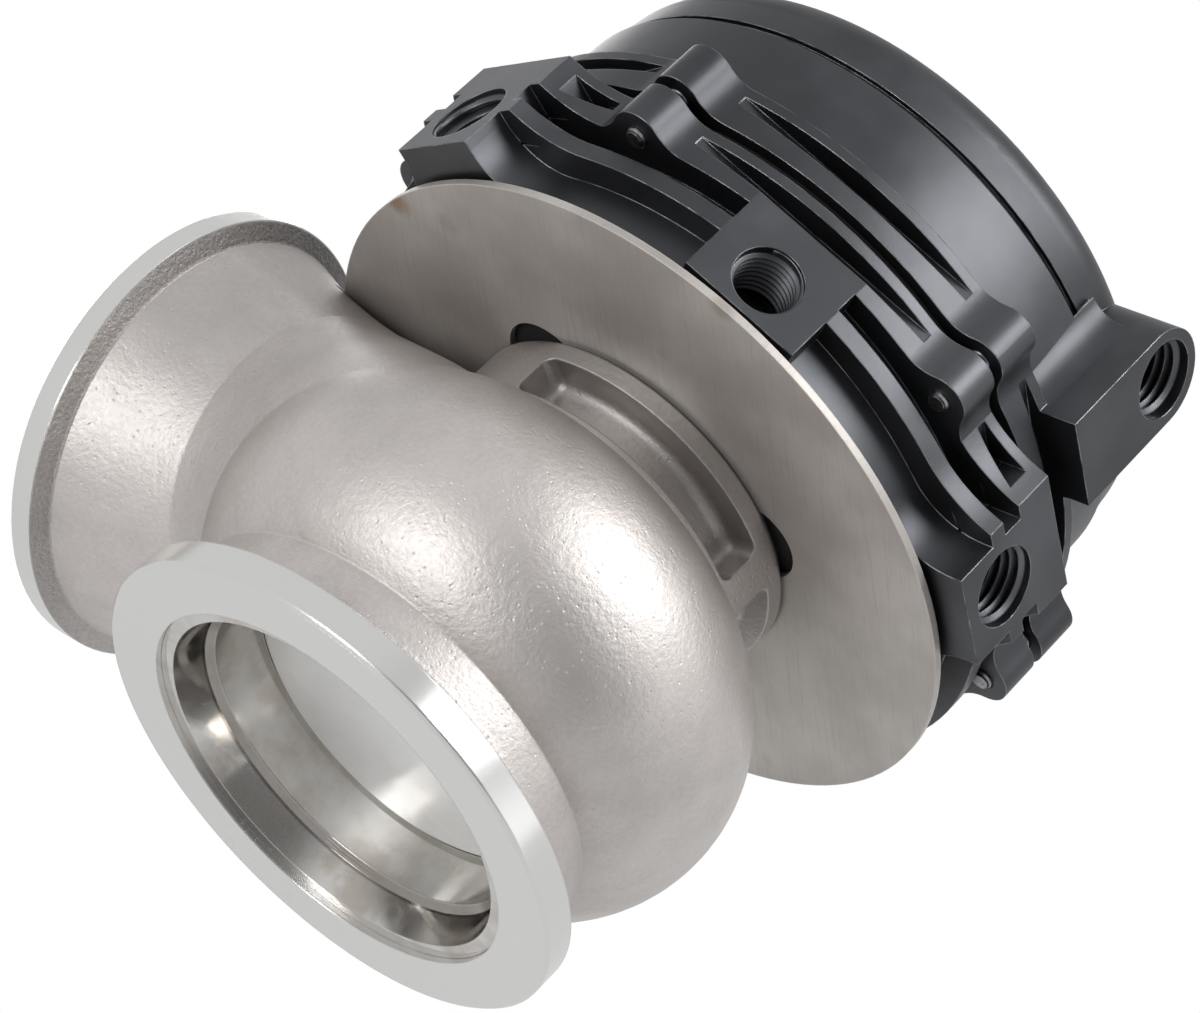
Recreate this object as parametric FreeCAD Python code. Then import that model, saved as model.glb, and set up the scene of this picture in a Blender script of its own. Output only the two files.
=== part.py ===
"""External exhaust wastegate with V-band flanges and a diaphragm actuator.

Frame: millimetres, origin at the centre of the inlet flange face, +Z along the valve
axis towards the actuator, +X out of the outlet. Each function makes one sub-part in
place, with the valve closed. main() writes one STEP file per sub-part.
"""
import FreeCAD, Part
import math
import os

# ---- cast valve body ----------------------------------------------------------------
INLET_R = 32.5            # inlet flange outer radius
INLET_RIM = 4.0           # width of its machined rim
OUTLET_R = 28.6           # outlet flange outer radius
OUTLET_RIM = 3.3
FLANK_DEG = 22.0          # slope of the flange backs, where the band clamps
RIM_CHAMFER = 0.4
CHAMBER_RING_R = 16.0     # the chamber is a fat ring: its tube's centre radius
CHAMBER_TUBE_R = 19.6     # and its tube's radius, outside
CHAMBER_Z = 26.0
CHAMBER_WALL = 4.0
INLET_NECK_R = 28.4
NECK_R = 22.9             # round top flange below the heat shield
NECK_TOP_Z = 54.0
NECK_RIM = 2.4            # height of the flange above the side pockets
POCKET_DEPTH = 4.4
POCKET_SOFT = 1.5         # radius in the pockets' corners
OUTLET_Z = 33.1           # height of the outlet axis
OUTLET_X = 53.7           # outlet face
OUTLET_NECK_R = 22.0
OUTLET_FLARE_X = 27.0     # where the outlet neck starts to flare
OUTLET_FLARE_END_R = 26.2
OUTLET_BORE_R = 18.0
OUTLET_MOUTH_R = 22.4
MOUTH_LAND = 3.0
# Ovals of the shoulder between chamber and outlet neck: x, half width, half height, z.
SHOULDER = ((3.0, 34.2, 20.2, 27.4), (10.0, 32.6, 21.2, 28.8), (18.0, 29.6, 21.6, 30.4),
            (26.0, 26.0, 21.7, 31.9), (33.0, 23.4, 21.9, 32.8), (38.0, 22.3, 22.2, 33.1))
SHIELD_CLEARANCE = 0.9    # outlet neck to heat shield

# ---- throat and valve ---------------------------------------------------------------
COUNTERBORE_R = 25.4
SEAT_FACE_Z = 0.9         # seat ring's face, below the flange face
SEAT_FLANGE = 2.0
SEAT_WALL_R = 24.0
SEAT_Z = 14.6             # top of the seat
THROAT_R = 21.2
SEAT_BEVEL = 1.4
SEAT_GAP = 0.08           # between the closed valve and its seat
HEAD_RIM = 1.5
STEM_R = 4.0
STEM_THREAD_R = 3.0
RUNNING = 0.04            # radial running clearance of the stem
SLIP = 0.03               # radial clearance of pieces that are pressed or laid in
GUIDE_R = 6.5
GUIDE_DROP = 3.2          # how far the guide stands into the chamber
SCRAPER = 1.6

# ---- stack between body and actuator ------------------------------------------------
GASKET = 0.5
SHIELD_R = 44.6
SHIELD_T = 1.0
SHIELD_HOLE_R = 21.4
INSULATOR = 0.8
NECK_SCREW_ANGLES = (62.0, 172.0, 282.0)
NECK_SCREW_PCR = 17.8
NECK_SCREW_R = 2.0
NECK_SCREW_DEPTH = 7.5
NECK_HEAD_R = 3.5
NECK_HEAD = 4.0
NECK_KEY = 3.0
SHIELD_NOTCH_R = 5.7
SHIELD_NOTCH_PCR = 19.4
SHIELD_TURN = -2.5        # notches, from the screws, in degrees

# ---- lower housing ------------------------------------------------------------------
HOUSING_R = 44.7          # fins and flanges between the lobes
WAIST_R = 41.0
FIN_LOW = 6.1             # heights above the housing's base
FIN_HIGH = 8.4
BAND_LOW = 11.4
HOUSING_H = 17.0
FLOOR = 8.2               # top of the floor, above the base
CHAMBER_R = 35.6          # air chamber radius
STEM_BOSS_R = 10.5
STEM_BOSS = 2.3
SCREW_PHASE = 86.5        # first flange screw's angle
SCREW_COUNT = 6
SCREW_OUT = 0.4           # screw circle outside the flange's edge
LOBE_R = 3.4
LOBE_BLEND = 5.0
SLOT_H = 1.3              # height of the crescent slots at their floor
SLOT_DEPTH = 3.4          # from the flange's edge to the slots' flat floor
SLOT_HALF = 17.0          # half length of the slots
SLOT_SLOPE = 0.34         # fall of the slots' lower wall per millimetre outwards
HOUSING_SLOT = 15.6       # roof of the housing's slots, above the base

# ---- ports --------------------------------------------------------------------------
COOLANT_ANGLES = (60.0, 174.0)
COOLANT_D = 48.8          # flat's distance from the axis
COOLANT_PORT_R = 4.9
COOLANT_H = 6.7           # port centre above the base
AIR_ANGLES = (117.0, 297.0)
AIR_D = 44.0
AIR_PORT_R = 4.2
AIR_H = 5.3
AIR_PAD = 7.8             # half width of the air ports' pads
FLAT_CUT = 20.0           # depth of the cuts that leave the ports' flats
FLAT_HALF = 30.0          # and their half width
PORT_DEPTH = 9.5
COOLANT_PAD = 6.6         # half width where the pad's flares start
COOLANT_FLARE = 16.0
WAIST_FLARE = 9.0
JACKET_IN_R = 25.6
JACKET_OUT_R = 33.4
JACKET_COVER = 1.8
JACKET_TOP = 6.4          # roof of the coolant channel, above the base
JACKET_DRILL_R = 2.2
SEAL_D = 1.2              # O-ring groove of the jacket cover

# ---- stem sealing in the lower housing ----------------------------------------------
BUSH_LOW = 2.0
BUSH_H = 4.4
SEAL_H = 2.5
RETAINER_H = 1.2

# ---- diaphragm, piston and springs --------------------------------------------------
BEAD = 1.6                # diaphragm thickness where it is clamped
BEAD_INSET = 1.7          # diaphragm's edge inside the flange's edge
SHEET = 1.1               # diaphragm thickness elsewhere
PLATE_GAP = 1.5           # closed valve: lower plate above the stem boss
PLATE_T = 1.7
PISTON_R = 28.4
PISTON_FLOOR = 2.0
PISTON_WALL = 2.2
PISTON_H = 11.8
PISTON_HUB_R = 8.0
PISTON_HUB = 4.8
SHEET_GAP = 0.4
FOLD = 2.6                # start of the diaphragm's fold above its bead
WASHER_T = 1.2
WASHER_R = 6.6
NUT_H = 5.2
NUT_AF = 10.0
STEM_END = 2.0            # stem above the nut
OUTER_SPRING_GAP = 2.3    # outer spring to the piston's wall
OUTER_WIRE_R = 1.7
INNER_SPRING_R = 14.4
INNER_WIRE_R = 1.2
OUTER_TURNS = 4.0
INNER_TURNS = 5.5
SPRING_SEAT_GAP = 0.05

# ---- cap ----------------------------------------------------------------------------
CAP_H = 27.6              # above the diaphragm bead
CAP_FLANGE_BORE = 4.6
CAP_BORE_R = 38.2
CAP_ROOF = 3.6
CAP_SLOT = 4.9            # roof of the cap's slots, above the bead
CAP_FLANGE = 6.3          # top of the flange and its lobes, above the bead
CAP_WALL_R = 42.2
CAP_CREASE = 17.8         # height of the groove round the cap
CAP_CREASE_R = 42.0
CREASE_W = 0.9
CREASE_DEPTH = 0.8
CAP_DOME_R = 41.0
CAP_EDGE = 5.0            # radius of the cap's top edge
SPRING_BOSS_GAP = 0.3     # inner spring to the boss that centres it
SPRING_BOSS = 1.5
ARM_ANGLE = 174.0
ARM_SHIFT = -4.4          # arm's sideways offset
ARM_D = 48.3
ARM_R = 6.3
ARM_PORT_R = 4.9
ARM_BLEND = 4.5
ARM_PORT_DEPTH = 10.0
ARM_DRILL_R = 1.8

# ---- flange screws ------------------------------------------------------------------
SCREW_R = 1.5
SCREW_HEAD_R = 2.7
SCREW_HEAD = 3.0
HEAD_CLEARANCE = 0.15
SCREW_TIP = 0.7           # how far the screws stand out below the band
KEY_AF = 2.5

# ---- radii that follow --------------------------------------------------------------
SCREW_PCR = HOUSING_R + SCREW_OUT
SLOT_D = HOUSING_R - SLOT_DEPTH
BEAD_R = HOUSING_R - BEAD_INSET
OUTER_SPRING_R = PISTON_R - PISTON_WALL - OUTER_WIRE_R - OUTER_SPRING_GAP
SPRING_BOSS_R = INNER_SPRING_R - INNER_WIRE_R - SPRING_BOSS_GAP

# ---- heights that follow ------------------------------------------------------------
SHIELD_Z = NECK_TOP_Z + GASKET
INSULATOR_Z = SHIELD_Z + SHIELD_T
BASE_Z = INSULATOR_Z + INSULATOR
FLOOR_Z = BASE_Z + FLOOR
JOINT_Z = BASE_Z + HOUSING_H
CAP_Z = JOINT_Z + BEAD
TOP_Z = CAP_Z + CAP_H
CEILING_Z = TOP_Z - CAP_ROOF
BOSS_TOP_Z = FLOOR_Z + STEM_BOSS
PLATE_Z = BOSS_TOP_Z + PLATE_GAP
SHEET_Z = PLATE_Z + PLATE_T
PISTON_Z = SHEET_Z + SHEET
SPRING_Z = PISTON_Z + PISTON_FLOOR
WASHER_Z = SPRING_Z + PISTON_HUB - PISTON_FLOOR
NUT_Z = WASHER_Z + WASHER_T
STEM_TOP_Z = NUT_Z + NUT_H + STEM_END
ARM_PORT_Z = TOP_Z - ARM_R
COOLANT_Z = BASE_Z + COOLANT_H
AIR_Z = BASE_Z + AIR_H
NECK_HEAD_Z = FLOOR_Z - NECK_HEAD - 0.4
HEAD_SEAT_Z = CAP_Z + CAP_FLANGE - SCREW_HEAD - 0.2
CHAMBER_LOW_Z = CHAMBER_Z - math.sqrt(CHAMBER_TUBE_R ** 2 - (INLET_NECK_R - CHAMBER_RING_R) ** 2)
CHAMBER_HIGH_Z = CHAMBER_Z + math.sqrt(CHAMBER_TUBE_R ** 2 - (NECK_R - CHAMBER_RING_R) ** 2)
THROAT_TOP_Z = CHAMBER_Z - CHAMBER_TUBE_R + CHAMBER_WALL
GUIDE_LOW_Z = CHAMBER_Z + CHAMBER_TUBE_R - CHAMBER_WALL - GUIDE_DROP

ORIGIN = FreeCAD.Vector(0, 0, 0)
X_AXIS = FreeCAD.Vector(1, 0, 0)
Z_AXIS = FreeCAD.Vector(0, 0, 1)
OUTLET_AXIS = FreeCAD.Vector(0, 0, OUTLET_Z)
SCREW_ANGLES = [SCREW_PHASE + 360.0 / SCREW_COUNT * i for i in range(SCREW_COUNT)]
SLOT_ANGLES = [angle + 180.0 / SCREW_COUNT for angle in SCREW_ANGLES]
POCKETS = ((74.0, 165.5), (178.5, 270.0))


# ---- helpers ------------------------------------------------------------------------
def rod(radius, low, high):
    """Solid cylinder on the valve axis."""
    return Part.makeCylinder(radius, high - low, FreeCAD.Vector(0, 0, low))


def ring(outer, inner, low, high):
    """Flat ring on the valve axis."""
    return rod(outer, low, high).cut(rod(inner, low - 1, high + 1))


def turned(start, *steps):
    """Solid turned on the valve axis from (radius, z) points.

    A step is a point, or a pair of points for an arc through the first to the second.
    """
    here = start
    edges = []
    for step in steps + (start,):
        if isinstance(step[0], tuple):
            middle, end = step
            arc = Part.Arc(*(FreeCAD.Vector(r, 0, z) for r, z in (here, middle, end)))
            edges.append(arc.toShape())
        else:
            end = step
            edges.append(Part.makeLine(FreeCAD.Vector(here[0], 0, here[1]),
                                       FreeCAD.Vector(end[0], 0, end[1])))
        here = end
    face = Part.Face(Part.Wire(edges))
    return face.revolve(ORIGIN, Z_AXIS, 360)


def to_outlet(solid):
    """Lay a solid turned on the valve axis along the outlet axis."""
    solid.rotate(ORIGIN, FreeCAD.Vector(0, 1, 0), 90)
    solid.translate(OUTLET_AXIS)
    return solid


def spin(solid, angle):
    """Turn a solid about the valve axis."""
    solid.rotate(ORIGIN, Z_AXIS, angle)
    return solid


def radial_hole(radius, start, end, angle, height, side=0.0):
    """Cylinder that points away from the valve axis, from start to end."""
    base = FreeCAD.Vector(start, side, height)
    return spin(Part.makeCylinder(radius, end - start, base, X_AXIS), angle)


def radial_block(start, end, half_width, low, high, angle, side=0.0):
    """Block that points away from the valve axis."""
    corner = FreeCAD.Vector(start, side - half_width, low)
    return spin(Part.makeBox(end - start, 2 * half_width, high - low, corner), angle)


def tube_height(radius, tube):
    """Height over the chamber's centre at which its ring has this radius."""
    return math.sqrt(tube ** 2 - (radius - CHAMBER_RING_R) ** 2)


def wedge(root, centre, touch, radius, low, high):
    """Concave corner: the patch root-centre-touch less the disc round centre."""
    points = [(0.8 * root[0], 0.8 * root[1]), root, centre, touch]
    corners = [FreeCAD.Vector(x, y, low) for x, y in points]
    patch = Part.Face(Part.makePolygon(corners + corners[:1]))
    solid = patch.extrude(FreeCAD.Vector(0, 0, high - low))
    disc = Part.makeCylinder(radius, high - low, FreeCAD.Vector(centre[0], centre[1], low))
    return solid.cut(disc)


def pad_flares(ring_r, half_width, blend, low, high, angle, side=0.0):
    """Concave flares from both sides of a radial pad to the round wall beside it."""
    flares = []
    for sign in (1, -1):
        across = side + sign * (half_width + blend)
        along = math.sqrt((ring_r + blend) ** 2 - across ** 2)
        share = ring_r / (ring_r + blend)
        root = (along, side + sign * half_width)
        touch = (along * share, across * share)
        flares.append(spin(wedge(root, (along, across), touch, blend, low, high), angle))
    return flares


def screw_lobes(low, high):
    """Round lobes at the flange screws, blended into the flange."""
    reach = HOUSING_R + LOBE_BLEND
    gap = LOBE_R + LOBE_BLEND
    swing = math.acos((reach ** 2 + SCREW_PCR ** 2 - gap ** 2) / (2 * reach * SCREW_PCR))
    solids = []
    for angle in SCREW_ANGLES:
        lobe = Part.makeCylinder(LOBE_R, high - low, FreeCAD.Vector(SCREW_PCR, 0, low))
        solids.append(spin(lobe, angle))
        for sign in (1, -1):
            centre = (reach * math.cos(swing), sign * reach * math.sin(swing))
            share = HOUSING_R / reach
            touch = (centre[0] * share, centre[1] * share)
            corner = wedge((SCREW_PCR, 0), centre, touch, LOBE_BLEND, low, high)
            solids.append(spin(corner, angle))
    return solids


def crescent_slot(roof, angle):
    """Cutter for a slot with a flat floor and sharp roof between two flange screws."""
    low = roof - SLOT_H
    reach = HOUSING_R + 2.0
    fall = (reach - SLOT_D) * SLOT_SLOPE
    profile = [(SLOT_D, low), (reach, low - fall), (reach, roof), (SLOT_D, roof), (SLOT_D, low)]
    points = [FreeCAD.Vector(x, -SLOT_HALF, z) for x, z in profile]
    face = Part.Face(Part.makePolygon(points))
    return spin(face.extrude(FreeCAD.Vector(0, 2 * SLOT_HALF, 0)), angle)


def hexagon(across_flats, low, high):
    """Hexagonal prism on the valve axis."""
    corner = across_flats / 2 / math.cos(math.radians(30))
    points = [FreeCAD.Vector(corner * math.cos(math.radians(60 * i)),
                             corner * math.sin(math.radians(60 * i)), low) for i in range(7)]
    return Part.Face(Part.makePolygon(points)).extrude(FreeCAD.Vector(0, 0, high - low))


def cap_screw(shank, shank_r, head_r, head, key):
    """Socket head screw with its head's seat at z = 0."""
    body = turned((0, -shank), (0.7 * shank_r, -shank), (shank_r, -shank + 0.5 * shank_r),
                  (shank_r, 0), (head_r, 0), (head_r, head - 0.3), (head_r - 0.3, head),
                  (0, head))
    return body.cut(hexagon(key, 0.45 * head, head + 1))


# ---- valve body ---------------------------------------------------------------------
def body_shell():
    """Outside of the casting: inlet flange, chamber ring and top neck."""
    flank = (INLET_R - INLET_NECK_R) * math.tan(math.radians(FLANK_DEG))
    side = CHAMBER_RING_R + CHAMBER_TUBE_R
    return turned((0, 0), (INLET_R - RIM_CHAMFER, 0), (INLET_R, RIM_CHAMFER),
                  (INLET_R, INLET_RIM), (INLET_NECK_R, INLET_RIM + flank),
                  (INLET_NECK_R, CHAMBER_LOW_Z), ((side, CHAMBER_Z), (NECK_R, CHAMBER_HIGH_Z)),
                  (NECK_R, NECK_TOP_Z), (0, NECK_TOP_Z))


def outlet_branch():
    """Outlet neck and flange, solid, up to the chamber's middle."""
    flank = (OUTLET_R - OUTLET_FLARE_END_R) * math.tan(math.radians(FLANK_DEG))
    run = OUTLET_X - OUTLET_RIM - flank - OUTLET_FLARE_X
    rise = OUTLET_FLARE_END_R - OUTLET_NECK_R
    flare_r = (run ** 2 + rise ** 2) / (2 * rise)
    middle = OUTLET_NECK_R + flare_r - math.sqrt(flare_r ** 2 - run ** 2 / 4)
    return to_outlet(turned(
        (0, 0), (OUTLET_NECK_R, 0), (OUTLET_NECK_R, OUTLET_FLARE_X),
        ((middle, OUTLET_FLARE_X + run / 2), (OUTLET_FLARE_END_R, OUTLET_FLARE_X + run)),
        (OUTLET_R, OUTLET_X - OUTLET_RIM),
        (OUTLET_R, OUTLET_X - RIM_CHAMFER), (OUTLET_R - RIM_CHAMFER, OUTLET_X), (0, OUTLET_X)))


def shoulder():
    """Smooth swell of the casting from the outlet neck into the chamber's sides."""
    wires = []
    for x, half_y, half_z, height in SHOULDER:
        oval = Part.Ellipse(FreeCAD.Vector(0, 0, 0), half_y, half_z)
        wire = Part.Wire(oval.toShape())
        wire.rotate(ORIGIN, Z_AXIS, 90)
        wire.rotate(ORIGIN, FreeCAD.Vector(0, 1, 0), 90)
        wire.translate(FreeCAD.Vector(x, 0, height))
        wires.append(wire)
    return Part.makeLoft(wires, True, False)


def chamber_cavity():
    """Gas space: throat bore, ring-shaped chamber and outlet bore."""
    tube = CHAMBER_TUBE_R - CHAMBER_WALL
    side = CHAMBER_RING_R + tube
    top = CHAMBER_Z + tube
    chamber = turned((0, THROAT_TOP_Z), (CHAMBER_RING_R, THROAT_TOP_Z),
                     ((side, CHAMBER_Z), (CHAMBER_RING_R, top)), (0, top))
    bore = to_outlet(turned((0, 0), (OUTLET_BORE_R, 0), (OUTLET_BORE_R, SHIELD_R - 1),
                            (OUTLET_MOUTH_R, OUTLET_X - MOUTH_LAND),
                            (OUTLET_MOUTH_R, OUTLET_X + 1), (0, OUTLET_X + 1)))
    throat = rod(SEAT_WALL_R + SLIP, -1, CHAMBER_Z)
    counterbore = rod(COUNTERBORE_R, -1, SEAT_FACE_Z + SEAT_FLANGE)
    return [chamber, bore, throat, counterbore]


def neck_pocket(start, end):
    """Cutter for a cored pocket in the side of the top neck, with soft corners."""
    inner = NECK_R - POCKET_DEPTH
    outer = NECK_R + 1.0
    roof = NECK_TOP_Z - NECK_RIM
    floor = CHAMBER_Z + tube_height(inner, CHAMBER_TUBE_R)
    corner = FreeCAD.Vector(inner, 0, floor)
    face = Part.makePlane(roof - floor, outer - inner, corner, FreeCAD.Vector(0, 1, 0), Z_AXIS)
    pocket = spin(face.revolve(ORIGIN, Z_AXIS, end - start), start)
    corners = [edge for edge in pocket.Edges if is_inside(edge, outer - 0.01)]
    return pocket.makeFillet(POCKET_SOFT, corners)


def is_inside(edge, radius):
    """True for an edge that somewhere lies nearer the valve axis than radius."""
    return any(math.hypot(point.x, point.y) < radius for point in edge.discretize(5))


def valve_body():
    """Cast body with both V-band flanges."""
    clearance = rod(SHIELD_R + SHIELD_CLEARANCE, SHIELD_Z - SHIELD_CLEARANCE, TOP_Z)
    branch = outlet_branch().fuse(shoulder()).cut(clearance)
    body = body_shell().fuse(branch)
    for start, end in POCKETS:
        body = body.cut(neck_pocket(start, end))
    for space in chamber_cavity():
        body = body.cut(space)
    body = body.cut(rod(GUIDE_R + SLIP, CHAMBER_Z, TOP_Z))
    for angle in NECK_SCREW_ANGLES:
        hole = Part.makeCylinder(NECK_SCREW_R + SLIP, NECK_SCREW_DEPTH + 1,
                                 FreeCAD.Vector(NECK_SCREW_PCR, 0, NECK_TOP_Z - NECK_SCREW_DEPTH))
        body = body.cut(spin(hole, angle))
    return body


# ---- throat and valve ---------------------------------------------------------------
def valve_seat():
    """Turned seat ring, pressed into the throat from the inlet side."""
    top = SEAT_FACE_Z + SEAT_FLANGE
    return turned((THROAT_R + 2.4, SEAT_FACE_Z), (COUNTERBORE_R - SLIP, SEAT_FACE_Z),
                  (COUNTERBORE_R - SLIP, top), (SEAT_WALL_R, top), (SEAT_WALL_R, SEAT_Z),
                  (THROAT_R + SEAT_BEVEL, SEAT_Z), (THROAT_R, SEAT_Z - SEAT_BEVEL),
                  (THROAT_R + 0.4, top + 3.0), (THROAT_R + 1.3, top + 2.2))


def valve():
    """Poppet valve: bevelled head, tulip, stem and threaded end."""
    rise = SEAT_GAP * math.sqrt(2)
    seat_r = THROAT_R + SEAT_BEVEL
    low = SEAT_Z - SEAT_BEVEL + rise
    rim = SEAT_Z + rise
    back = rim + HEAD_RIM
    return turned((0, low - 0.6), (THROAT_R - 1.0, low - 0.6), (THROAT_R - 0.4, low),
                  (THROAT_R, low), (seat_r, rim), (seat_r, back), (seat_r - 1.5, back + 0.4),
                  ((3.2 * STEM_R, back + 2.2), (2 * STEM_R, back + 4.6)),
                  ((1.3 * STEM_R, back + 7.4), (STEM_R, back + 12.0)),
                  (STEM_R, PLATE_Z), (STEM_THREAD_R, PLATE_Z),
                  (STEM_THREAD_R, STEM_TOP_Z - 0.6), (STEM_THREAD_R - 0.6, STEM_TOP_Z),
                  (0, STEM_TOP_Z))


def valve_guide():
    """Guide bush pressed into the neck, with a lead-in at its lower end."""
    top = NECK_TOP_Z - SCRAPER - 0.3
    return turned((STEM_R + RUNNING, GUIDE_LOW_Z), (GUIDE_R - 1.2, GUIDE_LOW_Z),
                  (GUIDE_R, GUIDE_LOW_Z + 1.6), (GUIDE_R, top), (STEM_R + RUNNING, top))


def stem_scraper():
    """Ring on top of the guide that wipes soot off the stem."""
    low = NECK_TOP_Z - SCRAPER - 0.1
    return ring(GUIDE_R, STEM_R + RUNNING, low, low + SCRAPER)


# ---- stack between body and actuator ------------------------------------------------
def neck_gasket():
    """Graphite gasket between neck and heat shield."""
    gasket = ring(NECK_R - 0.4, GUIDE_R + 1.0, NECK_TOP_Z, SHIELD_Z)
    for angle in NECK_SCREW_ANGLES:
        gasket = gasket.cut(radial_screw_hole(NECK_SCREW_R + 0.3, angle))
    return gasket


def radial_screw_hole(radius, angle):
    """Cutter through the whole stack at one neck screw."""
    base = FreeCAD.Vector(NECK_SCREW_PCR, 0, NECK_TOP_Z - 1)
    return spin(Part.makeCylinder(radius, TOP_Z, base), angle)


def heat_shield():
    """Stainless disc with a centre hole and a notch at each neck screw."""
    shield = ring(SHIELD_R, SHIELD_HOLE_R, SHIELD_Z, INSULATOR_Z)
    for angle in NECK_SCREW_ANGLES:
        base = FreeCAD.Vector(SHIELD_NOTCH_PCR, 0, NECK_TOP_Z)
        notch = Part.makeCylinder(SHIELD_NOTCH_R, SHIELD_T + 2 * GASKET, base)
        shield = shield.cut(spin(notch, angle + SHIELD_TURN))
    return shield


def shield_core():
    """Centring disc that fills the heat shield's hole between neck and housing."""
    core = ring(SHIELD_HOLE_R - 0.2, GUIDE_R + 1.0, SHIELD_Z, INSULATOR_Z)
    for angle in NECK_SCREW_ANGLES:
        core = core.cut(radial_screw_hole(NECK_SCREW_R + 0.3, angle))
    return core


def insulator():
    """Ceramic fibre gasket under the lower housing."""
    pad = ring(JACKET_OUT_R + 3.0, GUIDE_R + 1.0, INSULATOR_Z, BASE_Z)
    for angle in NECK_SCREW_ANGLES:
        pad = pad.cut(radial_screw_hole(NECK_SCREW_R + 0.3, angle))
    return pad


def neck_screws():
    """Screws from the housing floor down into the neck."""
    screws = []
    seat = NECK_HEAD_Z
    shank = seat - NECK_TOP_Z + NECK_SCREW_DEPTH - 0.8
    for angle in NECK_SCREW_ANGLES:
        screw = cap_screw(shank, NECK_SCREW_R, NECK_HEAD_R, NECK_HEAD, NECK_KEY)
        screw.translate(FreeCAD.Vector(NECK_SCREW_PCR, 0, seat))
        screws.append(spin(screw, angle))
    return Part.makeCompound(screws)


# ---- lower housing ------------------------------------------------------------------
def housing_blank():
    """Waist, fin and flange band, with pads and lobes, before boring."""
    fin_low, fin_high = BASE_Z + FIN_LOW, BASE_Z + FIN_HIGH
    band = BASE_Z + BAND_LOW
    blank = rod(WAIST_R, BASE_Z, JOINT_Z)
    blank = blank.fuse([rod(HOUSING_R, fin_low, fin_high), rod(HOUSING_R, band, JOINT_Z)])
    solids = screw_lobes(band, JOINT_Z)
    for angle in COOLANT_ANGLES:
        solids.append(radial_block(WAIST_R - 5, COOLANT_D + 6, COOLANT_PAD, BASE_Z,
                                   JOINT_Z, angle))
        for low, high, radius, blend in ((BASE_Z, fin_low, WAIST_R, WAIST_FLARE),
                                         (fin_low, fin_high, HOUSING_R, COOLANT_FLARE),
                                         (fin_high, band, WAIST_R, 0.5 * WAIST_FLARE),
                                         (band, JOINT_Z, HOUSING_R, COOLANT_FLARE)):
            solids += pad_flares(radius, COOLANT_PAD, blend, low, high, angle)
    for angle in AIR_ANGLES:
        solids.append(radial_block(WAIST_R - 5, AIR_D, AIR_PAD, BASE_Z, band, angle))
    return blank.fuse(solids).removeSplitter()


def lower_housing():
    """Machined actuator base with air ports, coolant ports and channel."""
    housing = housing_blank()
    for angle in COOLANT_ANGLES:
        housing = housing.cut(radial_block(COOLANT_D, COOLANT_D + FLAT_CUT, FLAT_HALF,
                                           BASE_Z - 1, JOINT_Z + 1, angle))
    for angle in AIR_ANGLES:
        housing = housing.cut(radial_block(AIR_D, AIR_D + FLAT_CUT, AIR_PAD + 2, BASE_Z - 1,
                                           BASE_Z + HOUSING_SLOT - SLOT_H, angle))
    for angle in SLOT_ANGLES:
        slot = crescent_slot(BASE_Z + HOUSING_SLOT, angle)
        for port in COOLANT_ANGLES:
            slot = slot.cut(radial_block(WAIST_R - 15, COOLANT_D + FLAT_CUT, COOLANT_PAD + 3,
                                         BASE_Z, JOINT_Z, port))
        housing = housing.cut(slot)
    for cutter in housing_bores():
        housing = housing.cut(cutter)
    return housing


def housing_bores():
    """Cutters for everything that is bored or drilled in the lower housing."""
    cutters = [ring(CHAMBER_R, STEM_BOSS_R, FLOOR_Z, JOINT_Z + 1),
               rod(STEM_BOSS_R + 1, BOSS_TOP_Z, JOINT_Z + 1),
               rod(GUIDE_R + SLIP, BASE_Z + BUSH_LOW, JOINT_Z + 1),
               rod(STEM_R + 1.0, BASE_Z - 1, JOINT_Z + 1),
               ring(JACKET_OUT_R, JACKET_IN_R, BASE_Z - 1, BASE_Z + JACKET_TOP)]
    for angle in COOLANT_ANGLES:
        cutters.append(radial_hole(COOLANT_PORT_R, COOLANT_D - PORT_DEPTH, COOLANT_D + 1,
                                   angle, COOLANT_Z))
        cutters.append(radial_hole(JACKET_DRILL_R, JACKET_OUT_R - 1, COOLANT_D - PORT_DEPTH + 1,
                                   angle, BASE_Z + JACKET_TOP - JACKET_DRILL_R))
    for angle in AIR_ANGLES:
        cutters.append(radial_hole(AIR_PORT_R, AIR_D - PORT_DEPTH, AIR_D + 1, angle, AIR_Z))
    for angle in NECK_SCREW_ANGLES:
        cutters.append(radial_screw_hole(NECK_SCREW_R + 0.3, angle))
        head = Part.makeCylinder(NECK_HEAD_R + 0.3, JOINT_Z,
                                 FreeCAD.Vector(NECK_SCREW_PCR, 0, NECK_HEAD_Z))
        cutters.append(spin(head, angle))
    for angle in SCREW_ANGLES:
        hole = Part.makeCylinder(SCREW_R + SLIP, HOUSING_H,
                                 FreeCAD.Vector(SCREW_PCR, 0, BASE_Z + FIN_HIGH + 0.2))
        cutters.append(spin(hole, angle))
    return cutters


def jacket_cover():
    """Ring that closes the coolant channel from below, with two seal grooves."""
    low = BASE_Z
    high = BASE_Z + JACKET_COVER
    groove = 0.5 * (low + high)
    cover = ring(JACKET_OUT_R - SLIP, JACKET_IN_R + SLIP, low, high)
    outer = ring(JACKET_OUT_R + 1, JACKET_OUT_R - SEAL_D, groove - SEAL_D / 2, groove + SEAL_D / 2)
    inner = ring(JACKET_IN_R + SEAL_D, JACKET_IN_R - 1, groove - SEAL_D / 2, groove + SEAL_D / 2)
    return cover.cut(outer).cut(inner)


def jacket_seals():
    """The two O-rings of the jacket cover."""
    height = BASE_Z + JACKET_COVER / 2
    radius = SEAL_D / 2 - SLIP
    rings = [Part.makeTorus(ring_r, radius, FreeCAD.Vector(0, 0, height))
             for ring_r in (JACKET_OUT_R - SEAL_D / 2, JACKET_IN_R + SEAL_D / 2)]
    return Part.makeCompound(rings)


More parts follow.
